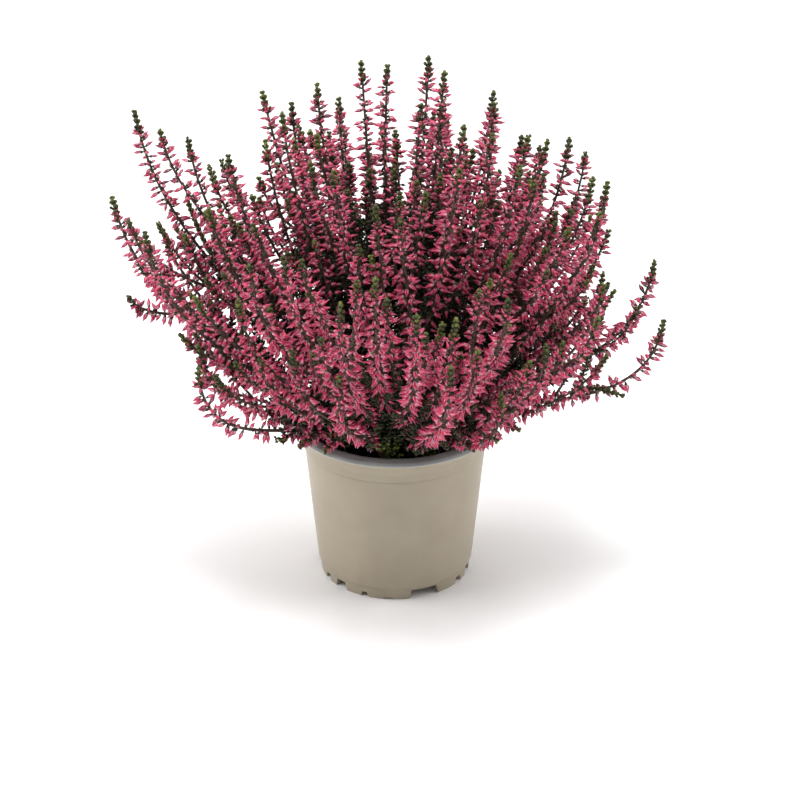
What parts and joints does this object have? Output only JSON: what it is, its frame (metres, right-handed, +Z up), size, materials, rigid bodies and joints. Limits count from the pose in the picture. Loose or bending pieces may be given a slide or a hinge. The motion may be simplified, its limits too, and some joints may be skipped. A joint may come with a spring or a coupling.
{
  "type": "potted heather",
  "caption": "Bushy heather in flower in a round plastic nursery pot, upright budded stems fanning out of dark soil, rests on a notched foot ring.",
  "frame": {"origin": "on the surface that the pot stands on, under the middle of the whole plant, which is within 2 mm of the pot's axis", "axes": "+Z up along the pot's axis, -Y towards the front of the picture, +X to the right"},
  "size_m": [0.3062, 0.2615, 0.303],
  "materials": {
    "pot_plastic": "satin taupe, grey inside and on the lip",
    "peat_soil": "dark crumbly peat",
    "heather_flowers": "matte petals on woody stems, green leafy tips",
    "heather_leaves": "matte scale leaves"
  },
  "bodies": {
    "root": {"pot": "pot_plastic", "soil": "peat_soil", "branch_01": "heather_flowers", "branch_02": "heather_flowers", "branch_03": "heather_flowers", "branch_04": "heather_flowers", "branch_05": "heather_flowers", "branch_06": "heather_flowers", "branch_07": "heather_flowers", "branch_08": "heather_flowers", "branch_09": "heather_flowers", "branch_10": "heather_flowers", "branch_11": "heather_flowers", "branch_12": "heather_flowers", "branch_13": "heather_flowers", "branch_14": "heather_flowers", "branch_15": "heather_flowers", "branch_16": "heather_flowers", "branch_17": "heather_flowers", "branch_18": "heather_flowers", "branch_19": "heather_flowers", "branch_20": "heather_flowers", "branch_21": "heather_flowers", "branch_22": "heather_flowers", "branch_23": "heather_flowers", "branch_24": "heather_flowers", "branch_25": "heather_flowers", "branch_26": "heather_flowers", "branch_27": "heather_flowers", "branch_28": "heather_flowers", "branch_29": "heather_flowers", "branch_30": "heather_flowers", "branch_31": "heather_flowers", "branch_32": "heather_flowers", "branch_33": "heather_flowers", "branch_34": "heather_flowers", "branch_35": "heather_flowers", "branch_36": "heather_flowers", "branch_37": "heather_flowers", "branch_38": "heather_flowers", "branch_39": "heather_flowers", "branch_40": "heather_flowers", "branch_41": "heather_flowers", "branch_42": "heather_flowers", "branch_43": "heather_flowers", "branch_44": "heather_flowers", "branch_45": "heather_flowers", "branch_46": "heather_flowers", "branch_47": "heather_flowers", "branch_48": "heather_flowers", "shoot_1": "heather_leaves", "shoot_2": "heather_leaves", "shoot_3": "heather_leaves", "shoot_4": "heather_leaves", "shoot_5": "heather_leaves", "shoot_6": "heather_leaves", "shoot_7": "heather_leaves", "shoot_8": "heather_leaves", "shoot_9": "heather_leaves"}
  },
  "joints": []
}
